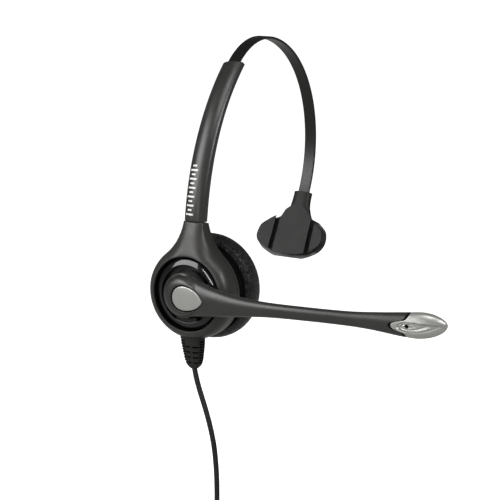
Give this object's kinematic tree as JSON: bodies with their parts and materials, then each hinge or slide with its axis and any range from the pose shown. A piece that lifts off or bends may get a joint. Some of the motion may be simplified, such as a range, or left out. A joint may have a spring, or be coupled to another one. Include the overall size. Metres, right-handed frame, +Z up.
{
  "type": "office headset",
  "caption": "Single-ear office headset with a flat sprung headband in a curved slider sleeve, a temple pad, a cushioned ear cup, a turning microphone boom and a lead to a quick-disconnect plug.",
  "frame": {"origin": "ear reference point, the centre of the ear cushion's contact face", "axes": "+X forward, the way the microphone boom points; +Y across the head from the ear cup towards the temple pad; +Z up"},
  "size_m": [0.1571, 0.1324, 0.3222],
  "materials": {
    "satin_plastic": "soft satin charcoal moulding, fine grain",
    "gloss_plastic": "polished black",
    "dark_plastic": "matt black inner moulding",
    "silver_plastic": "satin silver paint on plastic",
    "soft_rubber": "soft-touch moulded rubber",
    "spring_band": "black coated spring steel, satin",
    "leatherette": "creased black leatherette over foam",
    "steel": "plain steel",
    "brass": "gold flashed contact",
    "cloth": "fine black acoustic cloth",
    "cord_jacket": "smooth black cord jacket",
    "board": "circuit board green",
    "cone_film": "thin plastic film",
    "tie_strap": "woven hook-and-loop strap"
  },
  "bodies": {
    "ear_side": {"ear_housing": "satin_plastic", "housing_back": "satin_plastic", "housing_screws": "steel", "circuit_board": "board", "turret_ring": "gloss_plastic", "wave_washer": "steel", "sleeve_outer": "satin_plastic", "sleeve_liner": "dark_plastic", "detent_leaf": "steel", "pivot_pin": "steel", "strain_relief": "soft_rubber", "cord_inner_end": "cord_jacket", "cord_clamp": "steel", "cord": "cord_jacket", "cord_coil": "cord_jacket", "coil_tie": "tie_strap", "cord_tail": "cord_jacket", "plug_boot": "soft_rubber", "plug_shell_front": "dark_plastic", "plug_shell_back": "dark_plastic", "plug_carrier": "dark_plastic", "plug_contacts": "brass"},
    "boom": {"boom_inner": "satin_plastic", "boom_outer": "satin_plastic", "boom_inlay": "silver_plastic", "mic_wires": "cord_jacket", "mic_cap": "silver_plastic", "mic_grille": "dark_plastic", "mic_capsule": "steel", "mic_boot": "soft_rubber", "hub_clip": "steel"},
    "ear_capsule": {"speaker_cup": "dark_plastic", "driver_frame": "dark_plastic", "driver_magnet": "steel", "driver_cone": "cone_film", "speaker_grille": "dark_plastic", "grille_cloth": "cloth", "ear_cushion": "leatherette", "cushion_ring": "dark_plastic"},
    "band_side": {"headband": "spring_band", "band_stop": "dark_plastic", "stop_rivet": "steel", "temple_pad": "soft_rubber", "pad_plate": "dark_plastic", "pad_back": "satin_plastic", "pad_pin": "steel"}
  },
  "joints": [
    {"name": "boom_turn", "type": "hinge", "parent": "ear_side", "child": "boom", "pos_m": [0, -0.03, 0], "axis": [0, -1, 0], "range_deg": [-58, 238]},
    {"name": "band_slide", "type": "hinge", "parent": "ear_side", "child": "band_side", "pos_m": [0, 0.09, 0.024], "axis": [-1, 0, 0], "range_deg": [0, 16]},
    {"name": "capsule_tilt", "type": "hinge", "parent": "ear_side", "child": "ear_capsule", "pos_m": [0, -0.019, 0], "axis": [1, 0, 0], "range_deg": [-6, 6]}
  ]
}
